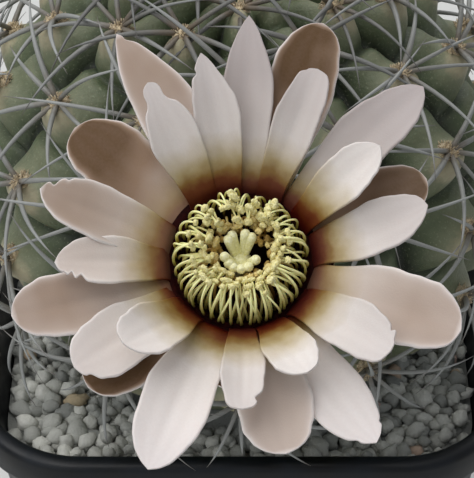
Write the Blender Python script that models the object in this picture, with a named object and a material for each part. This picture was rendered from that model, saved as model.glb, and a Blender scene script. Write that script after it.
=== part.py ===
"""A flowering chin cactus in a square nursery pot.

The part stands on the pot's flat bottom, with the origin in the middle of it and +Z up. The
bloom leans out over the front of the pot, towards -Y. All lengths are in metres.
"""
import math
import random

import bmesh
import bpy
from mathutils import Matrix, Vector

MM = 0.001
GAP = 0.3 * MM

# The pot: a tapered rounded square with a rolled lip.
POT_HEIGHT = 85 * MM
POT_RIM_HALF = 45 * MM
POT_RIM_CORNER = 20 * MM
POT_BASE_HALF = 33 * MM
POT_BASE_CORNER = 13 * MM
POT_WALL = 1.6 * MM
LIP_HEIGHT = 7 * MM
LIP_OUT = 3.6 * MM
DRAIN_RADIUS = 3.5 * MM
DRAIN_OFFSET = 17 * MM
CORNER_STEPS = 6

# The planting: soil up to below the lip, then a layer of gravel.
SOIL_DEPTH_BELOW_RIM = 11.5 * MM
GRAVEL_BED_BELOW_RIM = 7.7 * MM
PEBBLE_SPACING = 8.4 * MM
PEBBLE_RADIUS = 3.5 * MM
PEBBLE_FLATNESS = 0.65

# The plant's body: a flattened globe with ribs that are notched into chinned tubercles.
BODY_RADIUS = 43 * MM
BODY_HALF_HEIGHT = 40 * MM
BODY_CENTRE_ABOVE_RIM = 27 * MM
RIBS = 13
STEPS_PER_RIB = 4
RIB_DEPTH = 5.0 * MM
CHIN_DEPTH = 3.5 * MM
CROWN_DIP = 5 * MM
AREOLES_PER_RIB = 7
AREOLE_PITCH = 19.5
LOWEST_AREOLE = -33.7
BODY_ROWS = 24
LOWEST_LATITUDE = -74.0
HIGHEST_LATITUDE = 83.0

# The spines: curved, spreading, a few to each woolly areole.
SPINE_LENGTH = 22 * MM
SPINE_BASE = 0.62 * MM
SPINE_FANS = ((180, 108, 252), (145, 215, 65))
WOOL_SIZE = (1.9 * MM, 2.3 * MM, 1.5 * MM)

# The bloom: a bare scaly tube, a funnel, and petals round a throat 19 mm across.
FLOWER_LATITUDE = 18.0
THROAT = Vector((0, -65.9 * MM, POT_HEIGHT + 61.8 * MM))
FLOWER_LEAN = 33.0
THROAT_RADIUS = 9.4 * MM
FUNNEL_DEPTH = 9 * MM
FUNNEL_FLOOR_RADIUS = 4.8 * MM
FUNNEL_WALL = 1.2 * MM
CUP_WALL = 0.9 * MM
TUBE_BASE_RADIUS = 3.4 * MM
TUBE_STANDOFF = 1.7 * MM
TUBE_TOP_RADIUS = 5.8 * MM
PETAL_THICKNESS = 0.8 * MM
SCALES = 15

# Each petal: clock angle in degrees, reach and width in millimetres, and its whorl.
PETALS = (
    (2, 33, 7.5, "middle"), (19, 34, 10, "outer"), (25, 26, 7.5, "inner"),
    (47, 33, 8, "middle"), (61, 21, 6.5, "inner"), (69, 27, 7.5, "back"),
    (79, 26, 8, "middle"), (109, 31, 10, "middle"), (128, 24, 7.5, "inner"),
    (148, 31, 8.5, "outer"), (153, 20, 6.5, "inner"), (170, 29, 10, "outer"),
    (179, 23, 6.5, "inner"), (187, 18, 5, "back"), (202, 32, 9, "middle"),
    (229, 21, 7, "inner"), (228, 28, 8.5, "back"), (238, 28, 8, "outer"),
    (255, 32, 8.5, "outer"), (264, 25, 7, "middle"), (289, 28, 8, "middle"),
    (312, 28, 9.5, "back"), (330, 35, 8, "outer"), (332, 26, 6.5, "inner"),
    (349, 27, 6.5, "middle"), (346, 24, 7, "back"),
)
# For each whorl: the height of the petals' roots and of their tips over the throat plane.
WHORLS = {
    "inner": (0.4 * MM, 10.5 * MM),
    "middle": (-0.7 * MM, 8.0 * MM),
    "outer": (-1.8 * MM, 5.5 * MM),
    "back": (-2.8 * MM, 2.2 * MM),
}

# Stamens in two series: count, root and anther radii, anther height, and root depth.
STAMEN_SERIES = (
    (24, 8.2 * MM, 6.9 * MM, 6.2 * MM, -0.9 * MM),
    (10, 6.3 * MM, 5.4 * MM, 2.2 * MM, -5.0 * MM),
)
FILAMENT_RADIUS = 0.36 * MM
ANTHER_RADIUS = 0.85 * MM
STYLE_RADIUS = 1.5 * MM
STYLE_TOP = 0.8 * MM
STIGMA_LOBES = 9
LOBE_LENGTH = 4.6 * MM
LOBE_RADIUS = 0.75 * MM
LOBE_SPREAD = 33.0

SEED = 7


def clear_scene():
    for obj in list(bpy.data.objects):
        bpy.data.objects.remove(obj, do_unlink=True)


def new_collection(name):
    group = bpy.data.collections.new(name)
    bpy.context.scene.collection.children.link(group)
    return group


def make_material(name, colour, roughness, metallic=0.0):
    material = bpy.data.materials.new(name)
    material.use_nodes = True
    shader = material.node_tree.nodes["Principled BSDF"]
    shader.inputs["Base Color"].default_value = (*colour, 1.0)
    shader.inputs["Roughness"].default_value = roughness
    shader.inputs["Metallic"].default_value = metallic
    return material


def object_from(bm, name, group, material=None):
    bmesh.ops.recalc_face_normals(bm, faces=bm.faces)
    mesh = bpy.data.meshes.new(name)
    bm.to_mesh(mesh)
    bm.free()
    obj = bpy.data.objects.new(name, mesh)
    group.objects.link(obj)
    if material:
        mesh.materials.append(material)
    return obj


def evaluated_mesh(obj):
    bpy.context.view_layer.update()
    graph = bpy.context.evaluated_depsgraph_get()
    return bpy.data.meshes.new_from_object(obj.evaluated_get(graph))


def apply_modifiers(obj):
    mesh = evaluated_mesh(obj)
    obj.modifiers.clear()
    obj.data = mesh


def keep_largest_shell(obj):
    """Drops loose scraps and fills the small hollows that joining seals."""
    bm = bmesh.new()
    bm.from_mesh(obj.data)
    bmesh.ops.triangulate(bm, faces=bm.faces)
    unseen = set(bm.verts)
    shells = []
    while unseen:
        stack = [unseen.pop()]
        shell = list(stack)
        while stack:
            for edge in stack.pop().link_edges:
                for vert in edge.verts:
                    if vert in unseen:
                        unseen.remove(vert)
                        stack.append(vert)
                        shell.append(vert)
        shells.append(shell)
    shells.sort(key=len)
    for shell in shells[:-1]:
        bmesh.ops.delete(bm, geom=shell, context="VERTS")
    bm.to_mesh(obj.data)
    bm.free()


def fuse(obj, pieces, solver="MANIFOLD"):
    """Joins the pieces to the object in one Boolean union."""
    group = new_collection(obj.name + "_repeats")
    for piece in pieces:
        for owner in list(piece.users_collection):
            owner.objects.unlink(piece)
        group.objects.link(piece)
    union = obj.modifiers.new("union", "BOOLEAN")
    union.operation = "UNION"
    union.operand_type = "COLLECTION"
    union.collection = group
    union.solver = solver
    apply_modifiers(obj)
    for piece in pieces:
        bpy.data.objects.remove(piece, do_unlink=True)
    bpy.data.collections.remove(group)
    keep_largest_shell(obj)


def cut(obj, cutter):
    difference = obj.modifiers.new("cut", "BOOLEAN")
    difference.operation = "DIFFERENCE"
    difference.object = cutter
    difference.solver = "EXACT"


def as_cutter(obj):
    obj.hide_render = True
    obj.display_type = "WIRE"
    return obj


def loft(bm, rings):
    """Joins rings of equal point counts with quads and closes both ends."""
    rows = [[bm.verts.new(point) for point in ring] for ring in rings]
    count = len(rows[0])
    for lower, upper in zip(rows, rows[1:]):
        for i in range(count):
            j = (i + 1) % count
            bm.faces.new((lower[i], lower[j], upper[j], upper[i]))
    bm.faces.new(list(reversed(rows[0])))
    bm.faces.new(rows[-1])


def rounded_square(half, corner, z):
    points = []
    for quarter in range(4):
        middle = math.radians(90 * quarter + 45)
        centre = (half - corner) * math.sqrt(2)
        for step in range(CORNER_STEPS + 1):
            angle = math.radians(90 * quarter + 90 * step / CORNER_STEPS)
            x = centre * math.cos(middle) + corner * math.cos(angle)
            y = centre * math.sin(middle) + corner * math.sin(angle)
            points.append((x, y, z))
    return points


def wall_half(z):
    """Half-width of the pot's outer wall at a height, below its lip."""
    top = POT_RIM_HALF - LIP_OUT
    return POT_BASE_HALF + (top - POT_BASE_HALF) * z / (POT_HEIGHT - LIP_HEIGHT)


def wall_corner(z):
    share = z / POT_HEIGHT
    return POT_BASE_CORNER + (POT_RIM_CORNER - LIP_OUT - POT_BASE_CORNER) * share


def make_pot(group, cutters, material):
    lip = POT_HEIGHT - LIP_HEIGHT
    inner_rim = POT_RIM_HALF - 3.2 * MM
    outline = [
        (wall_half(0) - 0.8 * MM, 0),
        (wall_half(0), 0.8 * MM),
        (wall_half(lip), lip),
        (POT_RIM_HALF - 0.9 * MM, lip + 0.3 * MM),
        (POT_RIM_HALF, lip + 1.5 * MM),
        (POT_RIM_HALF, POT_HEIGHT - 1.2 * MM),
        (POT_RIM_HALF - 0.9 * MM, POT_HEIGHT),
        (inner_rim + 0.6 * MM, POT_HEIGHT),
        (inner_rim, POT_HEIGHT - 0.9 * MM),
        (wall_half(lip) - POT_WALL, lip - 0.5 * MM),
        (wall_half(POT_WALL) - POT_WALL, POT_WALL),
    ]
    bm = bmesh.new()
    rings = []
    for half, z in outline:
        corner = wall_corner(z) + half - wall_half(z)
        rings.append(rounded_square(half, corner, z))
    loft(bm, rings)
    pot = object_from(bm, "pot", group, material)
    drains = bmesh.new()
    for sx in (-1, 1):
        for sy in (-1, 1):
            place = Matrix.Translation((sx * DRAIN_OFFSET, sy * DRAIN_OFFSET, 0))
            bmesh.ops.create_cone(
                drains, cap_ends=True, segments=16, radius1=DRAIN_RADIUS,
                radius2=DRAIN_RADIUS, depth=8 * MM, matrix=place)
    cut(pot, as_cutter(object_from(drains, "drain_cutter", cutters)))
    return pot


def pot_fill_ring(z):
    """The pot's inside at a height, less the gap that the fill keeps to it."""
    half = wall_half(z) - POT_WALL - GAP
    return rounded_square(half, wall_corner(z) - POT_WALL - GAP, z)


def body_axis_height():
    return POT_HEIGHT + BODY_CENTRE_ABOVE_RIM


def make_seat_cutter(cutters):
    """The plant's round underside, a gap larger, which hollows the soil and the gravel."""
    bm = bmesh.new()
    place = Matrix.Translation((0, 0, body_axis_height()))
    grow = BODY_RADIUS + GAP
    tall = BODY_HALF_HEIGHT + GAP
    size = Matrix.Diagonal((grow, grow, tall, 1))
    bmesh.ops.create_uvsphere(bm, u_segments=32, v_segments=20, radius=1.02, matrix=place @ size)
    return as_cutter(object_from(bm, "seat_cutter", cutters))


def make_soil(group, seat, material):
    top = POT_HEIGHT - SOIL_DEPTH_BELOW_RIM
    bm = bmesh.new()
    loft(bm, [pot_fill_ring(POT_WALL + GAP), pot_fill_ring(top)])
    soil = object_from(bm, "soil", group, material)
    cut(soil, seat)
    return soil


def make_pebble(group, x, y, z, rng):
    bm = bmesh.new()
    spin = Matrix.Rotation(rng.uniform(0, math.tau), 4, "Z")
    tip = Matrix.Rotation(rng.uniform(-0.25, 0.25), 4, "X")
    size = [PEBBLE_RADIUS * rng.uniform(0.85, 1.15) for _ in range(3)]
    size[2] *= PEBBLE_FLATNESS
    place = Matrix.Translation((x, y, z)) @ spin @ tip
    shape = Matrix.Diagonal((*size, 1))
    bmesh.ops.create_icosphere(bm, subdivisions=1, radius=1, matrix=place @ shape)
    return object_from(bm, "pebble", group)


def make_gravel(group, seat, material):
    rng = random.Random(SEED)
    bottom = POT_HEIGHT - SOIL_DEPTH_BELOW_RIM + GAP
    top = POT_HEIGHT - GRAVEL_BED_BELOW_RIM
    bm = bmesh.new()
    loft(bm, [pot_fill_ring(bottom), pot_fill_ring(top)])
    gravel = object_from(bm, "gravel", group, material)
    pebbles = []
    reach = wall_half(top) - POT_WALL - PEBBLE_RADIUS * 1.15 - GAP
    rows = int(reach * 2 / (PEBBLE_SPACING * 0.87)) + 1
    for row in range(-rows, rows + 1):
        for column in range(-rows, rows + 1):
            x = (column + 0.5 * (row % 2)) * PEBBLE_SPACING + rng.uniform(-0.4, 0.4) * MM
            y = row * PEBBLE_SPACING * 0.866 + rng.uniform(-0.4, 0.4) * MM
            if not in_rounded_square(x, y, reach, wall_corner(top) - 4 * MM):
                continue
            if math.hypot(x, y) < BODY_RADIUS * 0.56:
                continue
            z = top + rng.uniform(-0.3, 0.5) * MM
            pebbles.append(make_pebble(group, x, y, z, rng))
    fuse(gravel, pebbles)
    cut(gravel, seat)
    return gravel


def in_rounded_square(x, y, half, corner):
    dx = max(abs(x) - (half - corner), 0)
    dy = max(abs(y) - (half - corner), 0)
    return math.hypot(dx, dy) <= corner


def smooth_step(low, high, value):
    share = min(max((value - low) / (high - low), 0), 1)
    return share * share * (3 - 2 * share)


def areole_latitude(rib, row):
    """Areoles of neighbouring ribs stand at different heights."""
    stagger = (rib * 5 % RIBS) / RIBS - 0.5
    return LOWEST_AREOLE + AREOLE_PITCH * (row + stagger * 0.7)


def rib_azimuth(rib):
    return -math.pi / 2 + math.tau * rib / RIBS


def body_point(azimuth, latitude):
    """A point of the ribbed surface, at a true azimuth and a parametric latitude in degrees."""
    turn = (azimuth + math.pi / 2) * RIBS / math.tau
    rib = round(turn) % RIBS
    across = abs(turn - round(turn)) * 2
    crest = 1 - across ** 2.2
    nearest = (latitude - areole_latitude(rib, 0)) / AREOLE_PITCH
    along = nearest - math.floor(nearest + 0.5)
    chin = math.exp(-((along + 0.14) / 0.20) ** 2) - 0.5 * math.exp(-((along - 0.48) / 0.09) ** 2)
    chin -= 0.5 * math.exp(-((along + 0.52) / 0.09) ** 2)
    above_ground = smooth_step(-40, -24, latitude)
    below_crown = 1 - smooth_step(66, 84, latitude)
    fade = above_ground * below_crown
    relief = RIB_DEPTH * (crest - 1) * (0.25 + 0.75 * below_crown) * above_ground
    relief += CHIN_DEPTH * chin * (1 - across ** 1.5) * fade
    relief -= 0.6 * MM * above_ground
    angle = math.radians(latitude)
    radius = (BODY_RADIUS + relief) * math.cos(angle)
    height = (BODY_HALF_HEIGHT + relief) * math.sin(angle)
    height -= CROWN_DIP * smooth_step(70, 92, latitude)
    x = radius * math.cos(azimuth)
    y = radius * math.sin(azimuth)
    return Vector((x, y, body_axis_height() + height))


def body_frame(azimuth, latitude):
    """Outward normal and upward tangent of the plain globe."""
    angle = math.radians(latitude)
    out = math.cos(angle) / BODY_RADIUS
    rise = math.sin(angle) / BODY_HALF_HEIGHT
    normal = Vector((out * math.cos(azimuth), out * math.sin(azimuth), rise)).normalized()
    side = Vector((-math.sin(azimuth), math.cos(azimuth), 0))
    return normal, normal.cross(side), side


def make_body(group, material):
    rings = []
    count = RIBS * STEPS_PER_RIB
    for row in range(BODY_ROWS):
        share = row / (BODY_ROWS - 1)
        latitude = LOWEST_LATITUDE + (HIGHEST_LATITUDE - LOWEST_LATITUDE) * share
        ring = []
        for step in range(count):
            azimuth = -math.pi / 2 + math.tau * step / count
            ring.append(body_point(azimuth, latitude))
        rings.append(ring)
    bm = bmesh.new()
    loft(bm, rings)
    return object_from(bm, "cactus", group, material)


def flower_axis():
    lean = math.radians(FLOWER_LEAN)
    return Vector((0, -math.sin(lean), math.cos(lean)))


def flower_point(clock, radius, height):
    """A point of the bloom: clock angle from its upper side, radius, height over the throat."""
    axis = flower_axis()
    back = axis.cross(Vector((1, 0, 0)))
    angle = math.radians(clock)
    across = Vector((1, 0, 0)) * math.sin(angle) + back * math.cos(angle)
    return THROAT + across * radius + axis * height


def in_bloom(point):
    """True where a spine would touch the petals, the funnel or the tube."""
    offset = point - THROAT
    height = offset.dot(flower_axis())
    radius = (offset - flower_axis() * height).length
    if -4.5 * MM < height < 20 * MM and radius < 38 * MM:
        return True
    if -16 * MM < height <= -4.5 * MM and radius < 14 * MM:
        return True
    root = tube_root()
    along = (THROAT - root).normalized()
    reach = (point - root).dot(along)
    aside = (point - root - along * reach).length
    return -2 * MM < reach < 34 * MM and aside < 9 * MM


def spine_points(azimuth, latitude, turn, lift, length):
    root = body_point(azimuth, latitude)
    normal, up, side = body_frame(azimuth, latitude)
    flat = up * math.cos(turn) + side * math.sin(turn)
    start = root + normal * 0.45 * MM
    direction = flat * math.cos(lift) + normal * math.sin(lift)
    points = []
    for step in range(3):
        share = step / 2
        bend = normal * (0.30 * share * share * length)
        points.append(start + direction * (share * length) - bend)
    return points


def sinks(point, share):
    """True where the outer part of a spine runs into the plant or the gravel."""
    ground = POT_HEIGHT - 1 * MM
    near = max(abs(point.x), abs(point.y)) < POT_RIM_HALF + 4 * MM
    if near and point.z < ground + 2.5 * MM:
        return True
    offset = point - Vector((0, 0, body_axis_height()))
    level = (offset.xy.length / (BODY_RADIUS + 1.5 * MM)) ** 2
    level += (offset.z / (BODY_HALF_HEIGHT + 1.5 * MM)) ** 2
    return share > 0.4 and level < 1


def clear_spine(azimuth, latitude, turn, lift, length):
    """The first spine of a few steeper and shorter ones that stays clear, or nothing."""
    for steeper in (0, 14, 28, 42):
        for shorter in (1.0, 0.8, 0.62):
            angle = math.radians(lift + steeper)
            points = spine_points(azimuth, latitude, turn, angle, length * shorter)
            dense = []
            for a, b in zip(points, points[1:]):
                dense += [a.lerp(b, 0.25 * k) for k in range(5)]
            last = len(dense) - 1
            blocked = any(in_bloom(p) or sinks(p, k / last) for k, p in enumerate(dense))
            if not blocked:
                return points
    return None


def tapered_horn(points, radii, sides, name, group):
    """A closed tapering rod along the points, with a pointed end."""
    bm = bmesh.new()
    rows = []
    for index, (point, radius) in enumerate(zip(points[:-1], radii)):
        ahead = points[index + 1] - points[max(index - 1, 0)]
        turn = ahead.to_track_quat("Z", "Y")
        ring = []
        for side in range(sides):
            angle = math.tau * side / sides
            spoke = Vector((math.cos(angle) * radius, math.sin(angle) * radius, 0))
            ring.append(bm.verts.new(point + turn @ spoke))
        rows.append(ring)
    for lower, upper in zip(rows, rows[1:]):
        for i in range(sides):
            j = (i + 1) % sides
            bm.faces.new((lower[i], lower[j], upper[j], upper[i]))
    bm.faces.new(list(reversed(rows[0])))
    tip = bm.verts.new(points[-1])
    for i in range(sides):
        bm.faces.new((rows[-1][i], rows[-1][(i + 1) % sides], tip))
    return object_from(bm, name, group)


def make_wool(group, azimuth, latitude):
    bm = bmesh.new()
    normal, up, side = body_frame(azimuth, latitude)
    turn = Matrix((side, up, normal)).transposed().to_4x4()
    place = Matrix.Translation(body_point(azimuth, latitude) + normal * 0.2 * MM)
    shape = Matrix.Diagonal((*WOOL_SIZE, 1))
    bmesh.ops.create_uvsphere(
        bm, u_segments=5, v_segments=2, radius=1, matrix=place @ turn @ shape)
    return object_from(bm, "wool", group)


def make_cactus(group, material):
    rng = random.Random(SEED + 1)
    body = make_body(group, material)
    repeats = []
    for rib in range(RIBS):
        azimuth = rib_azimuth(rib)
        for row in range(AREOLES_PER_RIB):
            latitude = areole_latitude(rib, row)
            if latitude < -26 or latitude > 80:
                continue
            if rib == 0 and abs(latitude - FLOWER_LATITUDE) < 12:
                continue
            repeats.append(make_wool(group, azimuth, latitude))
            for turn in SPINE_FANS[(rib + row) % 2]:
                angle = math.radians(turn + rng.uniform(-9, 9))
                lift = rng.uniform(24, 40)
                length = SPINE_LENGTH * rng.uniform(0.8, 1.15)
                points = clear_spine(azimuth, latitude, angle, lift, length)
                if points:
                    radii = (SPINE_BASE, SPINE_BASE * 0.75)
                    repeats.append(tapered_horn(points, radii, 3, "spine", group))
    fuse(body, repeats)
    return body


def tube_root():
    azimuth = -math.pi / 2
    normal, up, side = body_frame(azimuth, FLOWER_LATITUDE)
    return body_point(azimuth, FLOWER_LATITUDE) + normal * TUBE_STANDOFF


def make_tube_core(group, material):
    normal, up, side = body_frame(-math.pi / 2, FLOWER_LATITUDE)
    root = tube_root()
    top = THROAT - flower_axis() * (FUNNEL_DEPTH + FUNNEL_WALL + GAP)
    curve = bpy.data.curves.new("flower_tube", "CURVE")
    curve.dimensions = "3D"
    curve.bevel_depth = 1.0
    curve.bevel_resolution = 2
    curve.resolution_u = 5
    curve.use_fill_caps = True
    spline = curve.splines.new("BEZIER")
    spline.bezier_points.add(1)
    pull = (top - root).length * 0.36
    ends = ((root, normal, TUBE_BASE_RADIUS), (top, flower_axis(), TUBE_TOP_RADIUS))
    for knot, (place, direction, radius) in zip(spline.bezier_points, ends):
        knot.co = place
        knot.handle_left = place - direction * pull
        knot.handle_right = place + direction * pull
        knot.radius = radius
    source = bpy.data.objects.new("tube_curve", curve)
    group.objects.link(source)
    bm = bmesh.new()
    bm.from_mesh(evaluated_mesh(source))
    bmesh.ops.remove_doubles(bm, verts=bm.verts, dist=0.01 * MM)
    bpy.data.objects.remove(source, do_unlink=True)
    return object_from(bm, "flower_tube", group, material)


def tube_station(share):
    """Place, direction and radius along the tube's axis."""
    normal, up, side = body_frame(-math.pi / 2, FLOWER_LATITUDE)
    root = tube_root()
    top = THROAT - flower_axis() * (FUNNEL_DEPTH + FUNNEL_WALL + GAP)
    pull = (top - root).length * 0.36
    a = root + normal * pull
    b = top - flower_axis() * pull
    rest = 1 - share
    place = root * rest ** 3 + a * 3 * rest * rest * share
    place = place + b * 3 * rest * share * share + top * share ** 3
    ahead = (a - root) * rest * rest + (b - a) * 2 * rest * share + (top - b) * share * share
    radius = TUBE_BASE_RADIUS + (TUBE_TOP_RADIUS - TUBE_BASE_RADIUS) * share
    return place, ahead.normalized(), radius


def make_flower_tube(group, material):
    tube = make_tube_core(group, material)
    scales = []
    for index in range(SCALES):
        share = 0.16 + 0.62 * index / (SCALES - 1)
        angle = math.radians(137.5 * index)
        place, ahead, radius = tube_station(share)
        side = ahead.orthogonal().normalized()
        spoke = Matrix.Rotation(angle, 3, ahead) @ side
        base = place + spoke * (radius - 0.9 * MM) - ahead * 1.5 * MM
        middle = place + spoke * (radius + 0.1 * MM) + ahead * 0.6 * MM
        end = place + spoke * (radius + 0.75 * MM) + ahead * 3.4 * MM
        radii = (1.6 * MM, 1.5 * MM)
        scales.append(tapered_horn([base, middle, end], radii, 6, "scale", group))
    fuse(tube, scales)
    return tube


def turned(profile, steps, name, group, material=None):
    """A profile of (radius, height) pairs, turned about the bloom's axis at the throat."""
    bm = bmesh.new()
    axis_turn = flower_axis().to_track_quat("Z", "Y").to_matrix().to_4x4()
    place = Matrix.Translation(THROAT) @ axis_turn
    rows = []
    for radius, height in profile:
        if radius == 0:
            rows.append([bm.verts.new(place @ Vector((0, 0, height)))])
            continue
        ring = []
        for step in range(steps):
            angle = math.tau * step / steps
            spoke = Vector((radius * math.cos(angle), radius * math.sin(angle), height))
            ring.append(bm.verts.new(place @ spoke))
        rows.append(ring)
    for lower, upper in zip(rows, rows[1:]):
        for i in range(steps):
            j = (i + 1) % steps
            corners = [lower[i % len(lower)], lower[j % len(lower)],
                       upper[j % len(upper)], upper[i % len(upper)]]
            bm.faces.new(dict.fromkeys(corners))
    return object_from(bm, name, group, material)


def funnel_radius(height):
    """Outer radius of the stamens' cup at a height over the throat plane."""
    share = 1 + height / FUNNEL_DEPTH
    return FUNNEL_FLOOR_RADIUS + (THROAT_RADIUS - FUNNEL_FLOOR_RADIUS) * share ** 0.85


def petal_width(share, width):
    """Half-width along a petal: narrow at the root, widest past the middle, round at the tip."""
    grow = 0.42 + 0.58 * smooth_step(0.0, 0.62, share)
    end = math.sqrt(max(1 - max((share - 0.66) / 0.36, 0) ** 2, 0.02))
    return width / 2 * grow * end


def make_petal(group, clock, reach, width, whorl):
    root_height, tip_height = WHORLS[whorl]
    reach = reach * MM
    width = width * MM
    start = THROAT_RADIUS + 0.7 * MM
    rows = 5
    upper, lower = [], []
    bm = bmesh.new()
    for row in range(rows + 1):
        share = row / rows
        radius = start + (reach - start) * share
        height = root_height + (tip_height - root_height) * (1.35 * share - 0.35 * share * share)
        half = petal_width(share, width)
        cup = 0.10 * width * math.sin(math.pi * min(share * 1.1, 1))
        side = math.degrees(half / max(radius, 1 * MM))
        for rank, offset in ((upper, PETAL_THICKNESS / 2), (lower, -PETAL_THICKNESS / 2)):
            line = []
            for place in (-1, 0, 1):
                rise = height + offset + cup * (abs(place) - 0.5)
                point = flower_point(clock + side * place, radius, rise)
                line.append(bm.verts.new(point))
            rank.append(line)
    for row in range(rows):
        for k in range(2):
            for sheet in (upper, lower):
                a, b = sheet[row][k], sheet[row][k + 1]
                c, d = sheet[row + 1][k + 1], sheet[row + 1][k]
                bm.faces.new((a, b, c))
                bm.faces.new((a, c, d))
        for k in (0, 2):
            bm.faces.new((upper[row][k], upper[row + 1][k], lower[row + 1][k], lower[row][k]))
    for row in (0, rows):
        for k in range(2):
            bm.faces.new((upper[row][k], upper[row][k + 1], lower[row][k + 1], lower[row][k]))
    return object_from(bm, "petal", group)


def make_petals(group, material):
    wall_top = 1.0 * MM
    profile = [(0, -FUNNEL_DEPTH - FUNNEL_WALL)]
    heights = [-FUNNEL_DEPTH + FUNNEL_DEPTH * k / 4 for k in range(5)]
    profile.append((FUNNEL_FLOOR_RADIUS + 0.9 * MM, -FUNNEL_DEPTH - FUNNEL_WALL))
    profile += [(funnel_radius(h) + GAP + FUNNEL_WALL, h - 0.4 * MM) for h in heights]
    profile.append((THROAT_RADIUS + FUNNEL_WALL + GAP, wall_top))
    profile.append((THROAT_RADIUS + GAP, wall_top))
    profile += [(funnel_radius(h) + GAP, h) for h in reversed(heights)]
    profile.append((0, -FUNNEL_DEPTH))
    funnel = turned(profile, 20, "petals", group, material)
    blades = [make_petal(group, *petal) for petal in PETALS]
    fuse(funnel, blades)
    return funnel


def make_filament(group, clock, root_radius, top_radius, top_height, root_height):
    points = []
    for step in range(4):
        share = step / 3
        rest = 1 - share
        radius = root_radius * rest * rest + (root_radius + 1.2 * MM) * 2 * rest * share
        radius += top_radius * share * share
        bow = root_height + (top_height - root_height) * 0.75
        height = root_height * rest * rest + bow * 2 * rest * share + top_height * share * share
        points.append(flower_point(clock, min(radius, THROAT_RADIUS - 0.6 * MM), height))
    radii = (FILAMENT_RADIUS, FILAMENT_RADIUS, FILAMENT_RADIUS)
    return tapered_horn(points, radii, 3, "filament", group)


def make_blob(group, centre, size, name):
    bm = bmesh.new()
    place = Matrix.Translation(centre) @ Matrix.Diagonal((*size, 1))
    bmesh.ops.create_uvsphere(bm, u_segments=4, v_segments=2, radius=1, matrix=place)
    return object_from(bm, name, group)


def make_stamens(group, material):
    rng = random.Random(SEED + 2)
    floor = -FUNNEL_DEPTH + GAP
    heights = [floor + (-GAP - floor) * k / 4 for k in range(5)]
    profile = [(0, floor)]
    profile += [(funnel_radius(h), h) for h in heights]
    profile += [(funnel_radius(h) - CUP_WALL, h) for h in reversed(heights[1:])]
    profile += [(funnel_radius(floor + CUP_WALL) - CUP_WALL, floor + CUP_WALL)]
    profile.append((0, floor + CUP_WALL))
    cup = turned(profile, 20, "stamens", group, material)
    repeats = []
    for count, root_radius, top_radius, top_height, root_height in STAMEN_SERIES:
        for index in range(count):
            clock = 360 * index / count + rng.uniform(-2, 2)
            radius = top_radius + rng.uniform(-0.7, 0.5) * MM
            height = top_height + rng.uniform(-0.6, 0.6) * MM
            stalk = make_filament(
                group, clock, root_radius, radius, height, root_height)
            size = (ANTHER_RADIUS, ANTHER_RADIUS * 0.75, ANTHER_RADIUS * 0.7)
            anther = make_blob(group, flower_point(clock, radius, height), size, "anther")
            repeats += [stalk, anther]
    fuse(cup, repeats)
    return cup


def make_pistil(group, material):
    foot = -FUNNEL_DEPTH + CUP_WALL + 2 * GAP
    profile = [(0, foot), (STYLE_RADIUS, foot), (STYLE_RADIUS, STYLE_TOP - 1 * MM)]
    profile += [(STYLE_RADIUS * 1.2, STYLE_TOP), (0, STYLE_TOP + 0.8 * MM)]
    style = turned(profile, 12, "pistil", group, material)
    lobes = []
    spread = math.radians(LOBE_SPREAD)
    for index in range(STIGMA_LOBES):
        clock = 360 * index / STIGMA_LOBES + 10
        points = []
        for step in range(4):
            reach = LOBE_LENGTH * (step / 3) - 0.4 * MM
            radius = 0.9 * MM + reach * math.sin(spread)
            points.append(flower_point(clock, radius, STYLE_TOP + reach * math.cos(spread)))
        radii = (LOBE_RADIUS, LOBE_RADIUS * 1.05, LOBE_RADIUS * 0.85)
        lobes.append(tapered_horn(points, radii, 5, "lobe", group))
    fuse(style, lobes)
    return style


def build():
    clear_scene()
    parts = new_collection("chin_cactus")
    cutters = new_collection("cutters")
    make_pot(parts, cutters, make_material("pot_plastic", (0.02, 0.025, 0.035), 0.45))
    seat = make_seat_cutter(cutters)
    make_soil(parts, seat, make_material("soil", (0.07, 0.045, 0.03), 0.95))
    make_gravel(parts, seat, make_material("gravel", (0.45, 0.44, 0.42), 0.85))
    make_cactus(parts, make_material("cactus_skin", (0.16, 0.22, 0.12), 0.55))
    make_flower_tube(parts, make_material("flower_tube", (0.22, 0.2, 0.1), 0.5))
    make_petals(parts, make_material("petal", (0.78, 0.68, 0.68), 0.5))
    make_stamens(parts, make_material("stamen", (0.8, 0.74, 0.4), 0.6))
    make_pistil(parts, make_material("stigma", (0.88, 0.85, 0.6), 0.5))


build()
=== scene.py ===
import itertools
import math
import random

import bpy
import numpy as np
from mathutils import Matrix, Vector, noise


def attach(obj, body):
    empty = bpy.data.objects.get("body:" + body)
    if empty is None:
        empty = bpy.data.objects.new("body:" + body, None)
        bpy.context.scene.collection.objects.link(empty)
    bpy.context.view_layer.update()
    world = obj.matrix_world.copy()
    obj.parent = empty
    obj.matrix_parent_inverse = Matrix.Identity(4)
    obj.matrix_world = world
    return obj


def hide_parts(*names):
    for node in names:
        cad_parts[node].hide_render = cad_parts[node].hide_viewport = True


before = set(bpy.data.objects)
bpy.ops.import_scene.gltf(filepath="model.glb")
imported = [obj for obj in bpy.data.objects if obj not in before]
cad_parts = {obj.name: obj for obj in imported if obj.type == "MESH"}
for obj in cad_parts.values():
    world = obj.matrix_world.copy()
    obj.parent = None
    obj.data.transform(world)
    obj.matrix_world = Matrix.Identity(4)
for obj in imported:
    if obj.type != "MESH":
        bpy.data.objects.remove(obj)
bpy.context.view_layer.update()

MM = 0.001

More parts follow.
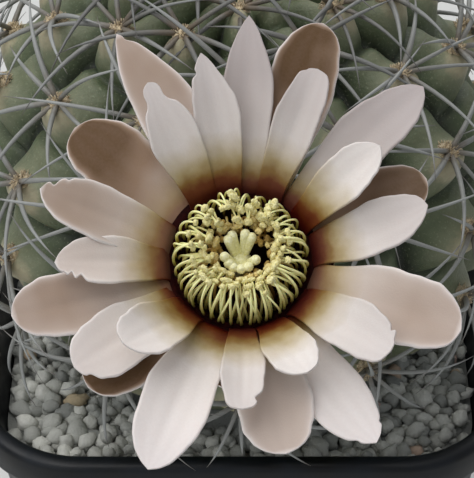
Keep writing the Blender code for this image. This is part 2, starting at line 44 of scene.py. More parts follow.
# The pot, as in the frame, and the planting.
POT_HEIGHT = 85 * MM
POT_RIM_HALF = 45 * MM
POT_RIM_CORNER = 20 * MM
POT_BASE_HALF = 33 * MM
POT_BASE_CORNER = 13 * MM
POT_WALL = 1.6 * MM
DRAIN_RADIUS = 3.5 * MM
DRAIN_OFFSET = 17 * MM
DRAIN_CUT = 8 * MM
LIP_HEIGHT = 7 * MM
LIP_OUT = 3.6 * MM
GRAVEL_BED = POT_HEIGHT - 7.7 * MM
PEBBLE_PITCH = 2.5 * MM
PEBBLE_KINDS = 14
# Rough radii of the pebbles and heights of their layers over the bed, in millimetres.
PEBBLE_SIZES = (1.15, 1.85)
PEBBLE_LAYERS = (-0.5, 0.8, 1.8)
# No pebble lies nearer the axis than this.
BODY_CLEARANCE = 29 * MM

# The plant's body. The pitch of the areoles and the latitudes are in degrees.
BODY_RADIUS = 43 * MM
BODY_HALF_HEIGHT = 40 * MM
BODY_CENTRE = POT_HEIGHT + 27 * MM
RIBS = 13
RIB_DEPTH = 5.0 * MM
CHIN_DEPTH = 3.5 * MM
CROWN_DIP = 5 * MM
AREOLE_PITCH = 19.5
LOWEST_AREOLE = -33.7
AREOLES_PER_RIB = 7
HAIRS_PER_AREOLE = 70
# Ranges of the spines: lift off the skin in degrees, length and root radius in millimetres.
SPINE_LIFTS = (20, 38)
SPINE_LENGTHS = (17, 26)
SPINE_RADII = (0.36, 0.50)
# Where the spines of a fan point, in degrees from upright, and by how many degrees steeper and
# how much shorter a spine is tried when it would run into something.
FAN = (180, 128, 232, 92, 268, 52, 308)
TRIES = ((0, 1), (10, 0.9), (22, 0.8), (36, 0.66), (48, 0.5))
FLOWER_LATITUDE = 18.0

# The bloom.
THROAT = np.array([0, -65.9 * MM, POT_HEIGHT + 61.8 * MM])
FLOWER_LEAN = math.radians(33.0)
THROAT_RADIUS = 9.4 * MM
FUNNEL_DEPTH = 9 * MM
TUBE_STANDOFF = 1.7 * MM
TUBE_SCALES = 22
GOLDEN_ANGLE = 137.5

# The photograph's view: it looks down by 40 degrees from 31 cm. At the throat, which lies in
# THROAT_PIXEL, the picture is VIEW_HEIGHT high.
VIEW_DOWN = math.radians(40)
VIEW_DISTANCE = 0.310
VIEW_HEIGHT = 65.1 * MM
IMAGE_WIDTH = 474
IMAGE_HEIGHT = 478
THROAT_PIXEL = (240.7, 261.0)

SEED = 11

AXIS = np.array([0, -math.sin(FLOWER_LEAN), math.cos(FLOWER_LEAN)])
RIGHT = np.array([1.0, 0, 0])
BACK = np.cross(AXIS, RIGHT)


class Soup:
    """Gathers vertices, faces and point values for one mesh."""

    def __init__(self):
        self.points = []
        self.faces = []
        self.values = {}
        self.count = 0

    def add(self, points, faces, **values):
        points = np.asarray(points, dtype=float).reshape(-1, 3)
        self.points.append(points)
        self.faces += [tuple(i + self.count for i in face) for face in faces]
        for key, value in values.items():
            filled = np.broadcast_to(np.asarray(value, dtype=float), (len(points),))
            self.values.setdefault(key, []).append(filled)
        self.count += len(points)

    def build(self, name, material, slot, node=None):
        mesh = bpy.data.meshes.new(name)
        mesh.from_pydata(np.concatenate(self.points).tolist(), [], self.faces)
        for key, chunks in self.values.items():
            layer = mesh.attributes.new(key, "FLOAT", "POINT")
            layer.data.foreach_set("value", np.concatenate(chunks).astype(np.float32))
        mesh.validate()
        mesh.shade_smooth()
        mesh.materials.append(material)
        piece = bpy.data.objects.new(name, mesh)
        bpy.context.scene.collection.objects.link(piece)
        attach(piece, "root")
        if node:
            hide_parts(node)
        return piece


def smooth_step(low, high, value):
    """0 up to low, 1 from high, and smooth between them."""
    share = np.clip((value - low) / (high - low), 0, 1)
    return share * share * (3 - 2 * share)


def grid_faces(rows, columns, closed=False):
    """Quads between rows of points. Closed, the last column joins the first."""
    faces = []
    span = columns if closed else columns - 1
    for row in range(rows - 1):
        for k in range(span):
            j = (k + 1) % columns
            a, b = row * columns + k, row * columns + j
            faces.append((a, b, b + columns, a + columns))
    return faces


def capped_grid(rows, columns):
    """Faces of a grid that closes on itself, with a face over either end."""
    faces = grid_faces(rows, columns, closed=True)
    faces.append(tuple(reversed(range(columns))))
    faces.append(tuple(range((rows - 1) * columns, rows * columns)))
    return faces


def polar_grid(rows, columns, low, high):
    """Angles from the pole, from low to high half turns, and angles about it."""
    tilts = np.linspace(low, high, rows) * math.pi
    turns = np.arange(columns) * math.tau / columns
    return np.meshgrid(tilts, turns, indexing="ij")


def random_grid(rng, rows, columns, low, high):
    draws = [rng.uniform(low, high) for _ in range(rows * columns)]
    return np.array(draws).reshape(rows, columns)


def sweep(points, radii, sides, tip=0.5):
    """A round rod along the points, and each vertex's share of its length."""
    points = np.asarray(points, dtype=float)
    radii = np.asarray(radii, dtype=float)
    ahead = np.gradient(points, axis=0)
    ahead /= np.linalg.norm(ahead, axis=1)[:, None]
    first = np.cross(ahead[0], [0.31, 0.57, 0.76])
    first /= np.linalg.norm(first)
    side = np.empty_like(points)
    for index, direction in enumerate(ahead):
        first = first - direction * first.dot(direction)
        first /= np.linalg.norm(first)
        side[index] = first
    other = np.cross(ahead, side)
    angles = np.arange(sides) * math.tau / sides
    ring = side[:, None] * np.cos(angles)[None, :, None]
    ring = ring + other[:, None] * np.sin(angles)[None, :, None]
    rows = points[:, None] + ring * radii[:, None, None]
    vertices = rows.reshape(-1, 3)
    faces = grid_faces(len(points), sides, closed=True)
    start, end = len(vertices), len(vertices) + 1
    ends = (points[0] - ahead[0] * radii[0] * 0.5, points[-1] + ahead[-1] * radii[-1] * tip)
    vertices = np.concatenate([vertices, np.array(ends)])
    last = (len(points) - 1) * sides
    for k in range(sides):
        j = (k + 1) % sides
        faces.append((j, k, start))
        faces.append((last + k, last + j, end))
    along = np.repeat(np.linspace(0, 1, len(points)), sides)
    return vertices, faces, np.concatenate([along, [0, 1]])


def new_material(name, roughness, **sockets):
    """A material, its node tree and its shader."""
    material = bpy.data.materials.new(name)
    material.use_nodes = True
    tree = material.node_tree
    shader = tree.nodes["Principled BSDF"]
    shader.inputs["Roughness"].default_value = roughness
    for socket, value in sockets.items():
        shader.inputs[socket.replace("_", " ")].default_value = value
    return material, tree, shader


def attribute(tree, name):
    node = tree.nodes.new("ShaderNodeAttribute")
    node.attribute_name = name
    return node.outputs["Fac"]


def noise_of(tree, scale, detail):
    where = tree.nodes.new("ShaderNodeTexCoord")
    node = tree.nodes.new("ShaderNodeTexNoise")
    node.inputs["Scale"].default_value = scale
    node.inputs["Detail"].default_value = detail
    tree.links.new(where.outputs["Object"], node.inputs["Vector"])
    return node.outputs["Fac"]


def math_of(tree, operation, a, b=0.0, c=0.0):
    """Each operand is a number or another node's output."""
    node = tree.nodes.new("ShaderNodeMath")
    node.operation = operation
    for socket, value in zip(node.inputs, (a, b, c)):
        if isinstance(value, (int, float)):
            socket.default_value = value
        else:
            tree.links.new(value, socket)
    return node.outputs[0]


def ramp(tree, factor, stops):
    node = tree.nodes.new("ShaderNodeValToRGB")
    keys = node.color_ramp.elements
    while len(keys) < len(stops):
        keys.new(0.5)
    for key, (place, colour) in zip(keys, stops):
        key.position = place
        key.color = (*colour, 1)
    tree.links.new(factor, node.inputs["Fac"])
    return node.outputs["Color"]


def mixed(tree, factor, a, b):
    """Colour a, turning into b as the factor rises."""
    node = tree.nodes.new("ShaderNodeMix")
    node.data_type = "RGBA"
    pairs = ((node.inputs[0], factor), (node.inputs[6], a), (node.inputs[7], b))
    for socket, value in pairs:
        if isinstance(value, tuple):
            socket.default_value = (*value, 1)
        else:
            tree.links.new(value, socket)
    return node.outputs[2]


def paint(tree, shader, colour):
    tree.links.new(colour, shader.inputs["Base Color"])


def add_bump(tree, shader, height, distance, strength=1.0):
    """Fine relief from the height, up to that distance in metres."""
    node = tree.nodes.new("ShaderNodeBump")
    node.inputs["Distance"].default_value = distance
    node.inputs["Strength"].default_value = strength
    tree.links.new(height, node.inputs["Height"])
    tree.links.new(node.outputs["Normal"], shader.inputs["Normal"])


def linear(red, green, blue):
    """A colour given in 0 to 255 display values."""
    return tuple((c / 255) ** 2.2 for c in (red, green, blue))


def product(tree, first, *others):
    for other in others:
        first = math_of(tree, "MULTIPLY", first, other)
    return first


def plain(value):
    """A grey that carries a number through a ramp."""
    return (value, value, value)


def petal_base(tree, place):
    """Maroon at the throat, olive gold, then silky white."""
    return ramp(tree, place, (
        (0.262, linear(46, 4, 9)), (0.290, linear(74, 18, 13)), (0.318, linear(100, 52, 22)),
        (0.340, linear(130, 100, 50)), (0.370, linear(172, 154, 112)),
        (0.412, linear(210, 198, 178)), (0.46, linear(234, 226, 220)),
        (1.0, linear(239, 229, 228))))


def petal_toned(tree, base):
    """The base browned by the petal's tint, or greyed with painted shade where the tint is below
    zero, less so at the root, tip and edges.
    """
    brown_and_painted_shade = attribute(tree, "brown_and_painted_shade")
    along = attribute(tree, "along")
    side = math_of(tree, "ABSOLUTE", attribute(tree, "across"))
    belly = math_of(tree, "SUBTRACT", 1.0, math_of(tree, "POWER", side, 10.0))
    rise = ramp(tree, along, ((0.15, plain(0.3)), (0.68, plain(1))))
    fade = ramp(tree, along, ((0.965, plain(1)), (0.998, plain(0.2))))
    patches = ramp(tree, noise_of(tree, 85, 2), ((0.30, plain(0.74)), (0.60, plain(1))))
    brown = product(tree, math_of(tree, "MAXIMUM", brown_and_painted_shade, 0.0), belly, rise, fade, patches)
    brown = math_of(tree, "MINIMUM", brown, 0.96)
    # Painted shade: below zero the tint darkens the petal towards grey mauve, more so away from
    # the root.
    grey = math_of(tree, "MAXIMUM", product(tree, brown_and_painted_shade, -1.0), 0.0)
    base_with_painted_shade = mixed(tree, product(tree, grey, rise), base, linear(90, 76, 76))
    tanned = mixed(tree, product(tree, brown, 1.5), base_with_painted_shade, linear(173, 147, 125))
    return mixed(tree, product(tree, brown, brown), tanned, linear(84, 60, 24))


def petal_veined(tree, toned, place):
    """Fine streaks and faint lengthwise bands on the pale part."""
    pale = ramp(tree, place, ((0.31, plain(0)), (0.42, plain(1))))
    streaks = product(tree, noise_of(tree, 2600, 4), 0.14, pale)
    veined = mixed(tree, streaks, toned, linear(168, 142, 136))
    bands = math_of(tree, "SINE", product(tree, attribute(tree, "across"), 12.5))
    faint = product(tree, math_of(tree, "MULTIPLY_ADD", bands, 0.025, 0.025), pale)
    return mixed(tree, faint, veined, linear(150, 128, 122))


def petal_material():
    """Coloured by the distance from the bloom's axis, with noise in it, and by the tint: brown, or
    painted shade below zero.
    """
    material, tree, shader = new_material(
        "petal", 0.46, Specular_IOR_Level=0.22, Subsurface_Weight=0.08, Subsurface_Scale=0.0012)
    shader.inputs["Subsurface Radius"].default_value = (1.0, 0.7, 0.6)
    reach = attribute(tree, "reach")
    place = math_of(tree, "MULTIPLY_ADD", noise_of(tree, 300, 3), 0.07, reach)
    toned = petal_toned(tree, petal_base(tree, place))
    paint(tree, shader, petal_veined(tree, toned, place))
    add_bump(tree, shader, noise_of(tree, 4200, 3), 0.00005, 0.5)
    return material


def skin_material():
    """Grey green, with painted shade in the furrows and creases and painted light on the crests,
    and pale specks.
    """
    material, tree, shader = new_material(
        "cactus_skin", 0.55, Subsurface_Weight=0.05, Subsurface_Scale=0.002)
    relief = attribute(tree, "relief")
    mottling = noise_of(tree, 320, 5)
    # The relief value paints shade, dark in the furrows and creases, and light, pale on the
    # crests.
    base = ramp(tree, math_of(tree, "MULTIPLY_ADD", mottling, 0.35, relief), (
        (0.30, linear(40, 46, 34)), (0.60, linear(86, 96, 70)), (0.88, linear(124, 128, 102)),
        (1.0, linear(168, 160, 132))))
    dots = noise_of(tree, 2600, 2)
    speckle = ramp(tree, dots, ((0.60, plain(0)), (0.72, plain(1))))
    colour = mixed(tree, product(tree, speckle, 0.25), base, linear(176, 180, 150))
    paint(tree, shader, colour)
    add_bump(tree, shader, noise_of(tree, 1800, 4), 0.00016, 0.8)
    return material


def spine_material():
    """Grey with a brown root, darker on the young spines near the crown."""
    material, tree, shader = new_material("spine", 0.5)
    along = attribute(tree, "along")
    young = attribute(tree, "young")
    grain = noise_of(tree, 900, 4)
    place = math_of(tree, "MULTIPLY_ADD", grain, 0.25, math_of(tree, "SUBTRACT", along, 0.12))
    grey = ramp(tree, place, (
        (0.0, linear(104, 92, 76)), (0.22, linear(132, 132, 128)), (0.75, linear(152, 154, 152)),
        (1.0, linear(104, 98, 92))))
    dark = ramp(tree, place, (
        (0.0, linear(110, 90, 64)), (0.35, linear(70, 66, 62)), (1.0, linear(34, 30, 30))))
    paint(tree, shader, mixed(tree, young, grey, dark))
    add_bump(tree, shader, noise_of(tree, 3500, 3), 0.00006, 0.6)
    return material


def wool_material():
    material, tree, shader = new_material("wool", 0.95, Sheen_Weight=0.5)
    felt = noise_of(tree, 1500, 4)
    colour = ramp(tree, felt, ((0.3, linear(176, 152, 116)), (0.7, linear(226, 208, 172))))
    paint(tree, shader, colour)
    add_bump(tree, shader, noise_of(tree, 4200, 3), 0.0003)
    return material


def stone_material():
    """Grey grit by each pebble's tone, a few of them tan or pink."""
    material, tree, shader = new_material("gravel", 0.8)
    tone = attribute(tree, "tone")
    speck = noise_of(tree, 2400, 5)
    base = ramp(tree, tone, (
        (0.0, linear(146, 148, 144)), (0.5, linear(196, 197, 190)), (0.92, linear(232, 232, 224)),
        (0.95, linear(196, 176, 140)), (1.0, linear(214, 180, 168))))
    colour = mixed(tree, product(tree, speck, 0.4), base, linear(126, 126, 120))
    paint(tree, shader, colour)
    add_bump(tree, shader, noise_of(tree, 3200, 5), 0.0002, 0.9)
    return material


def plastic_material():
    """Near black, with duller and lighter dusty patches."""
    material, tree, shader = new_material("pot_plastic", 0.42, Specular_IOR_Level=0.36)
    dust = noise_of(tree, 180, 6)
    colour = ramp(tree, dust, ((0.35, linear(7, 10, 14)), (0.75, linear(20, 27, 35))))
    paint(tree, shader, colour)
    rough = ramp(tree, dust, ((0.3, plain(0.33)), (0.8, plain(0.6))))
    tree.links.new(rough, shader.inputs["Roughness"])
    add_bump(tree, shader, noise_of(tree, 3000, 3), 0.00004, 0.5)
    return material


def soil_material():
    material, tree, shader = new_material("soil", 0.95)
    crumbs = noise_of(tree, 900, 6)
    colour = ramp(tree, crumbs, ((0.35, linear(34, 26, 20)), (0.7, linear(88, 68, 50))))
    paint(tree, shader, colour)
    add_bump(tree, shader, crumbs, 0.0008)
    return material


def grained_material(name, dark, light, roughness, scale=1200.0, bump=0.0001, **sockets):
    """Two close tones in a fine grain."""
    material, tree, shader = new_material(name, roughness, **sockets)
    grain = noise_of(tree, scale, 4)
    paint(tree, shader, ramp(tree, grain, ((0.3, dark), (0.7, light))))
    add_bump(tree, shader, grain, bump)
    return material


def tube_material():
    """Olive green, towards pink where the edge value is high."""
    material, tree, shader = new_material("flower_tube", 0.5)
    edge = attribute(tree, "edge")
    flecks = noise_of(tree, 500, 4)
    base = ramp(tree, flecks, ((0.3, linear(84, 88, 52)), (0.7, linear(120, 116, 74))))
    colour = mixed(tree, edge, base, linear(190, 160, 140))
    paint(tree, shader, colour)
    add_bump(tree, shader, noise_of(tree, 2200, 3), 0.00008)
    return material


def filament_material():
    """Brown at the root, then pale yellow, and tan deep in."""
    material, tree, shader = new_material(
        "stamen", 0.5, Subsurface_Weight=0.1, Subsurface_Scale=0.001)
    along = attribute(tree, "along")
    shade = attribute(tree, "deep")
    colour = ramp(tree, along, (
        (0.0, linear(104, 78, 30)), (0.18, linear(194, 188, 98)), (0.6, linear(250, 246, 178))))
    deep = mixed(tree, shade, colour, linear(188, 142, 72))
    paint(tree, shader, deep)
    add_bump(tree, shader, noise_of(tree, 4000, 2), 0.00003)
    return material


def anther_material():
    """Granular pollen sacs, cream outside and tan deep in."""
    material, tree, shader = new_material("anther", 0.8)
    grain = noise_of(tree, 3800, 4)
    cream = ramp(tree, grain, ((0.3, linear(230, 214, 126)), (0.6, linear(255, 248, 190))))
    colour = mixed(tree, attribute(tree, "deep"), cream, linear(214, 172, 88))
    paint(tree, shader, colour)
    add_bump(tree, shader, grain, 0.0003)
    return material


def rounded_square(half, corner, z, steps):
    """Points about a square with round corners, in that many steps a corner."""
    points = []
    for quarter in range(4):
        middle = math.radians(90 * quarter + 45)
        centre = (half - corner) * math.sqrt(2)
        for step in range(steps + 1):
            angle = math.radians(90 * quarter + 90 * step / steps)
            x = centre * math.cos(middle) + corner * math.cos(angle)
            y = centre * math.sin(middle) + corner * math.sin(angle)
            points.append((x, y, z))
    return points


def wall_half(z):
    """Half the outer width of the pot's wall at that height."""
    top = POT_RIM_HALF - LIP_OUT
    return POT_BASE_HALF + (top - POT_BASE_HALF) * z / (POT_HEIGHT - LIP_HEIGHT)


def wall_corner(z):
    return POT_BASE_CORNER + (POT_RIM_CORNER - LIP_OUT - POT_BASE_CORNER) * z / POT_HEIGHT


def cut_drain(pot, x, y):
    bpy.ops.mesh.primitive_cylinder_add(
        radius=DRAIN_RADIUS, depth=DRAIN_CUT, vertices=40, location=(x, y, 0))
    cutter = bpy.context.object
    hole = pot.modifiers.new("drain", "BOOLEAN")
    hole.object = cutter
    hole.operation = "DIFFERENCE"
    bpy.context.view_layer.objects.active = pot
    bpy.ops.object.modifier_apply(modifier=hole.name)
    bpy.data.objects.remove(cutter)


def make_pot(material):
    """The moulded shell with its rolled lip, finer than the frame's."""
    lip = POT_HEIGHT - LIP_HEIGHT
    inner = POT_RIM_HALF - 3.2 * MM
    outline = [
        (wall_half(0) - 0.8 * MM, 0), (wall_half(0) - 0.25 * MM, 0.2 * MM),
        (wall_half(0), 0.8 * MM), (wall_half(lip), lip - 0.2 * MM),
        (wall_half(lip) + 0.5 * MM, lip + 0.2 * MM), (POT_RIM_HALF - 0.9 * MM, lip + 0.4 * MM),
        (POT_RIM_HALF - 0.25 * MM, lip + 0.75 * MM), (POT_RIM_HALF, lip + 1.5 * MM),
        (POT_RIM_HALF, POT_HEIGHT - 1.2 * MM), (POT_RIM_HALF - 0.25 * MM, POT_HEIGHT - 0.4 * MM),
        (POT_RIM_HALF - 0.9 * MM, POT_HEIGHT), (inner + 0.7 * MM, POT_HEIGHT),
        (inner + 0.2 * MM, POT_HEIGHT - 0.25 * MM), (inner, POT_HEIGHT - 0.9 * MM),
        (wall_half(lip) - POT_WALL, lip - 0.5 * MM),
        (wall_half(POT_WALL) - POT_WALL, POT_WALL),
    ]
    points = []
    for half, z in outline:
        points += rounded_square(half, wall_corner(z) + half - wall_half(z), z, 20)
    soup = Soup()
    soup.add(points, capped_grid(len(outline), len(points) // len(outline)))
    pot = soup.build("pot_shell", material, "pot_plastic", "pot")
    for sx in (-1, 1):
        for sy in (-1, 1):
            cut_drain(pot, sx * DRAIN_OFFSET, sy * DRAIN_OFFSET)
    pot.data.set_sharp_from_angle(angle=math.radians(50))


def body_relief(azimuth, latitude):
    """Relief of ribs and chins, by azimuth in radians and latitude in degrees."""
    turn = (azimuth + math.pi / 2) * RIBS / math.tau
    rib = np.mod(np.round(turn), RIBS)
    across = np.abs(turn - np.round(turn)) * 2
    crest = 1 - across ** 2.2
    stagger = np.mod(rib * 5, RIBS) / RIBS - 0.5
    lowest = LOWEST_AREOLE + AREOLE_PITCH * stagger * 0.7
    nearest = (latitude - lowest) / AREOLE_PITCH
    along = nearest - np.floor(nearest + 0.5)
    chin = np.exp(-((along + 0.14) / 0.20) ** 2)
    chin = chin - 0.5 * np.exp(-((along - 0.48) / 0.09) ** 2)
    chin = chin - 0.5 * np.exp(-((along + 0.52) / 0.09) ** 2)
    above_ground = smooth_step(-40, -24, latitude)
    below_crown = 1 - smooth_step(66, 84, latitude)
    relief = RIB_DEPTH * (crest - 1) * (0.25 + 0.75 * below_crown) * above_ground
    relief = relief + CHIN_DEPTH * chin * (1 - across ** 1.5) * above_ground * below_crown
    crease = np.exp(-((along - 0.46) / 0.035) ** 2) + np.exp(-((along + 0.54) / 0.035) ** 2)
    relief = relief - 1.3 * MM * crease * (1 - across ** 4) * above_ground * below_crown
    groove = np.exp(-((1 - across) / 0.07) ** 2)
    relief = relief - 0.9 * MM * groove * above_ground * below_crown
    return relief - 0.6 * MM * above_ground


def body_points(azimuth, latitude):
    """Points of the skin, and how far each stands off the plain spheroid."""
    azimuth = np.asarray(azimuth, dtype=float)
    latitude = np.asarray(latitude, dtype=float)
    relief = body_relief(azimuth, latitude)
    angle = np.radians(latitude)
    radius = (BODY_RADIUS + relief) * np.cos(angle)
    height = (BODY_HALF_HEIGHT + relief) * np.sin(angle)
    height = height - CROWN_DIP * smooth_step(70, 92, latitude)
    x, y = radius * np.cos(azimuth), radius * np.sin(azimuth)
    return np.stack([x, y, BODY_CENTRE + height], -1), relief


def skin_point(azimuth, latitude):
    return body_points(azimuth, latitude)[0]


def body_frame(azimuth, latitude):
    """The spheroid's normal, upward and sideways directions."""
    angle = math.radians(latitude)
    out = math.cos(angle) / BODY_RADIUS
    rise = math.sin(angle) / BODY_HALF_HEIGHT
    normal = np.array([out * math.cos(azimuth), out * math.sin(azimuth), rise])
    normal /= np.linalg.norm(normal)
    side = np.array([-math.sin(azimuth), math.cos(azimuth), 0])
    return normal, np.cross(normal, side), side


def make_body(material):
    """The ribbed skin. Its relief value is 0 at 6 mm inside the spheroid and 1 at 3 mm outside."""
    columns, rows = RIBS * 20, 170
    azimuth = -math.pi / 2 + math.tau * np.arange(columns) / columns
    latitude = np.linspace(-74, 89.5, rows)
    points, relief = body_points(*np.meshgrid(azimuth, latitude))
    # The skin's material paints shade and light from this value: dark in the furrows, pale on the
    # crests.
    share = np.clip((relief / MM + 6) / 9, 0, 1)
    soup = Soup()
    soup.add(points, capped_grid(rows, columns), relief=share.ravel())
    soup.build("body_skin", material, "cactus_skin", "cactus")


def areoles():
    """Azimuth and latitude of every areole that shows."""
    for rib in range(RIBS):
        stagger = (rib * 5 % RIBS) / RIBS - 0.5
        for row in range(AREOLES_PER_RIB):
            latitude = LOWEST_AREOLE + AREOLE_PITCH * (row + stagger * 0.7)
            if latitude < -26 or latitude > 80:
                continue
            if rib == 0 and abs(latitude - FLOWER_LATITUDE) < 12:
                continue
            yield -math.pi / 2 + math.tau * rib / RIBS, latitude


def tube_path(shares):
    """The tube's centre line, from the body's side up to the funnel."""
    normal = body_frame(-math.pi / 2, FLOWER_LATITUDE)[0]
    root = skin_point(-math.pi / 2, FLOWER_LATITUDE) + normal * TUBE_STANDOFF
    top = THROAT - AXIS * (FUNNEL_DEPTH + 1.5 * MM)
    pull = np.linalg.norm(top - root) * 0.36
    a, b = root + normal * pull, top - AXIS * pull
    s = np.asarray(shares)[:, None]
    r = 1 - s
    return root * r ** 3 + a * 3 * r * r * s + b * 3 * r * s * s + top * s ** 3


def in_bloom(points):
    """Whether a spine would run into the petals, the funnel or the tube."""
    offset = points - THROAT
    height = offset @ AXIS
    radius = np.linalg.norm(offset - height[:, None] * AXIS, axis=1)
    wide = (height > -4.5 * MM) & (height < 20 * MM) & (radius < 37 * MM)
    deep = (height > -16 * MM) & (height <= -4.5 * MM) & (radius < 14 * MM)
    tube = tube_path(np.linspace(0, 1, 12))
    gap = np.linalg.norm(points[:, None] - tube[None], axis=2).min(axis=1)
    return bool((wide | deep | (gap < 8.5 * MM)).any())


def sinks(points):
    """Whether a spine would run into the pot, its gravel or the body."""
    near = np.abs(points[:, :2]).max(axis=1) < POT_RIM_HALF + 3 * MM
    if (near & (points[:, 2] < POT_HEIGHT + 1 * MM)).any():
        return True
    offset = points - np.array([0, 0, BODY_CENTRE])
    level = (np.linalg.norm(offset[:, :2], axis=1) / (BODY_RADIUS + 0.6 * MM)) ** 2
    level = level + (offset[:, 2] / (BODY_HALF_HEIGHT + 0.6 * MM)) ** 2
    outer = np.linspace(0, 1, len(points)) > 0.45
    return bool((outer & (level < 1)).any())


def spine_points(azimuth, latitude, turn, lift, length, bend):
    """A spine's centre line. It points by turn and lift and bends back to the body."""
    root = skin_point(azimuth, latitude)
    normal, up, side = body_frame(azimuth, latitude)
    flat = up * math.cos(turn) + side * math.sin(turn)
    direction = flat * math.cos(lift) + normal * math.sin(lift)
    s = np.linspace(0, 1, 12)[:, None]
    return root + normal * 0.3 * MM + direction * s * length - normal * (bend * length) * s * s


def free_spine(azimuth, latitude, turn, rng):
    """The first of the tries that runs into nothing, or None."""
    angle = math.radians(turn + rng.uniform(-10, 10))
    lift = rng.uniform(*SPINE_LIFTS)
    length = rng.uniform(*SPINE_LENGTHS) * MM
    bend = rng.uniform(0.28, 0.48)
    for steeper, shorter in TRIES:
        tilt = math.radians(lift + steeper)
        points = spine_points(azimuth, latitude, angle, tilt, length * shorter, bend)
        if not in_bloom(points) and not sinks(points):
            return points
    return None


def make_spines(material, wool):
    """A cushion of wool and a fan of curved spines at each areole."""
    rng = random.Random(SEED)
    rods, pads = Soup(), Soup()
    for azimuth, latitude in areoles():
        add_wool(pads, azimuth, latitude, rng)
        young = float(smooth_step(52, 70, latitude)) * 0.6
        fan = list(FAN)
        if rng.random() < 0.4:
            fan.append(rng.choice((20, 340)))
        for turn in fan:
            points = free_spine(azimuth, latitude, turn, rng)
            if points is None:
                continue
            radius = rng.uniform(*SPINE_RADII) * MM
            share = np.linspace(0, 1, len(points))
            radii = radius * np.clip(1.04 - share ** 1.7, 0.05, 1)
            vertices, faces, along = sweep(points, radii, 7)
            rods.add(vertices, faces, along=along, young=young)
    rods.build("spines", material, "cactus_skin")
    pads.build("areole_wool", wool, "cactus_skin")


def skin_frame(azimuth, latitude):
    """The skin's own normal, upward and sideways directions."""
    up = skin_point(azimuth, latitude + 2.0) - skin_point(azimuth, latitude - 1.2)
    up = up / np.linalg.norm(up)
    side = skin_point(azimuth + 0.04, latitude) - skin_point(azimuth - 0.04, latitude)
    side = side / np.linalg.norm(side)
    return np.cross(side, up), up, side


def add_wool(soup, azimuth, latitude, rng):
    """A felted cushion with short hairs on it."""
    centre = skin_point(azimuth, latitude)
    normal, up, side = skin_frame(azimuth, latitude)
    wide, tall = side * 1.5 * MM, up * 1.8 * MM
    rows, columns = 7, 14
    tilt, turn = polar_grid(rows, columns, 0.02, 0.5)
    jitter = random_grid(rng, rows, columns, 0.86, 1.14)
    flat = wide * np.cos(turn)[..., None] + tall * np.sin(turn)[..., None]
    dome = centre - normal * 0.5 * MM + flat * (np.sin(tilt) * jitter)[..., None]
    dome = dome + normal * (np.cos(tilt) * 1.5 * MM * jitter)[..., None]
    soup.add(dome, grid_faces(rows, columns, closed=True) + [tuple(reversed(range(columns)))])
    for _ in range(HAIRS_PER_AREOLE):
        angle = rng.uniform(0, math.tau)
        out = math.sqrt(rng.random())
        flat = (wide * math.cos(angle) + tall * math.sin(angle)) * out
        start = centre + flat * 0.9 + normal * (0.9 - 1.0 * out * out) * MM
        lean = flat * 0.35 + side * rng.uniform(-0.4, 0.4) * MM
        end = start + normal * (0.9 - 0.4 * out) * MM + lean
        vertices, faces, _ = sweep([start, end], [0.16 * MM, 0.05 * MM], 4)
        soup.add(vertices, faces)


def bloom_points(clock, radius, height):
    """Points of the bloom at arrays of clock angle, radius and height over the throat."""
    angle = np.radians(clock)
    across = np.sin(angle)[..., None] * RIGHT + np.cos(angle)[..., None] * BACK
    return THROAT + across * np.asarray(radius)[..., None] + np.asarray(height)[..., None] * AXIS


# Each petal: clock angle, reach and width in millimetres, whorl, tip, how brown it is or, below
# zero, how much painted shade greys it, and how far its tip leans clockwise, in millimetres.
PETALS = (
    (2, 33.0, 7.2, "middle", "point", -0.50, 0.0), (18, 34.3, 9.2, "outer", "broad", 1.02, 0.8),
    (23, 26.4, 5.9, "inner", "blunt", -0.36, 0.1), (47, 33.5, 7.9, "middle", "ogive", -0.48, 0.5),
    (56, 22.6, 6.3, "inner", "ogive", 0.0, -0.3), (65, 27.8, 8.4, "back", "broad", 1.02, 0.6),
    (82, 25.6, 7.5, "middle", "ogive", -0.30, -2.2),
    (110, 31.2, 9.6, "middle", "broad", 0.48, 1.2),
    (127, 24.6, 7.2, "inner", "blunt", -0.18, 0.3), (148, 31.6, 8.6, "outer", "ogive", 0.0, -1.2),
    (156, 19.8, 6.4, "inner", "broad", 0.0, -0.6), (168, 28.4, 10.0, "outer", "broad", 0.38, 0.0),
    (179, 22.8, 5.7, "inner", "blunt", -0.18, 0.3), (202, 32.5, 9.2, "middle", "ogive", 0.0, -0.2),
    (187, 18.3, 4.5, "back", "broad", 1.0, 0.0), (229, 27.2, 9.2, "back", "broad", 1.2, -0.3),
    (234, 27.3, 8.5, "outer", "broad", 0.10, -0.4), (224, 20.8, 7.4, "inner", "broad", -0.06, 0.9),
    (253, 31.8, 8.8, "outer", "broad", 0.55, 0.3), (266, 24.8, 6.8, "middle", "ogive", 0.27, -0.6),
    (285, 27.8, 7.8, "middle", "ogive", 0.56, 0.4), (310, 29.3, 10.2, "back", "broad", 1.08, -0.6),
    (334.6, 35.6, 8.7, "outer", "point", 0.58, -2.1),
    (330, 25.4, 6.9, "inner", "knob", -0.18, 0.2),
    (350, 27.0, 6.3, "inner", "point", -0.25, -0.7), (346, 24.0, 8.0, "back", "broad", 0.60, 0.0),
)
# Nicks in the edges, by petal number from 1: side, and place, depth and span as shares.
NICKS = {
    3: ((-1, 0.97, 0.25, 0.02),),
    9: ((-1, 0.90, 0.20, 0.02), (-1, 0.97, 0.35, 0.02)),
    10: ((-1, 0.90, 0.12, 0.014), (1, 0.93, 0.22, 0.018)),
    13: ((-1, 0.88, 0.30, 0.04),),
    17: ((-1, 0.93, 0.25, 0.03),),
    20: ((-1, 0.78, 0.28, 0.03), (-1, 0.86, 0.34, 0.02), (-1, 0.92, 0.2, 0.02)),
    21: ((1, 0.92, 0.40, 0.025), (1, 0.83, 0.12, 0.02)),
    23: ((1, 0.955, 0.50, 0.02),),
    25: ((-1, 0.85, 0.22, 0.022),),
}
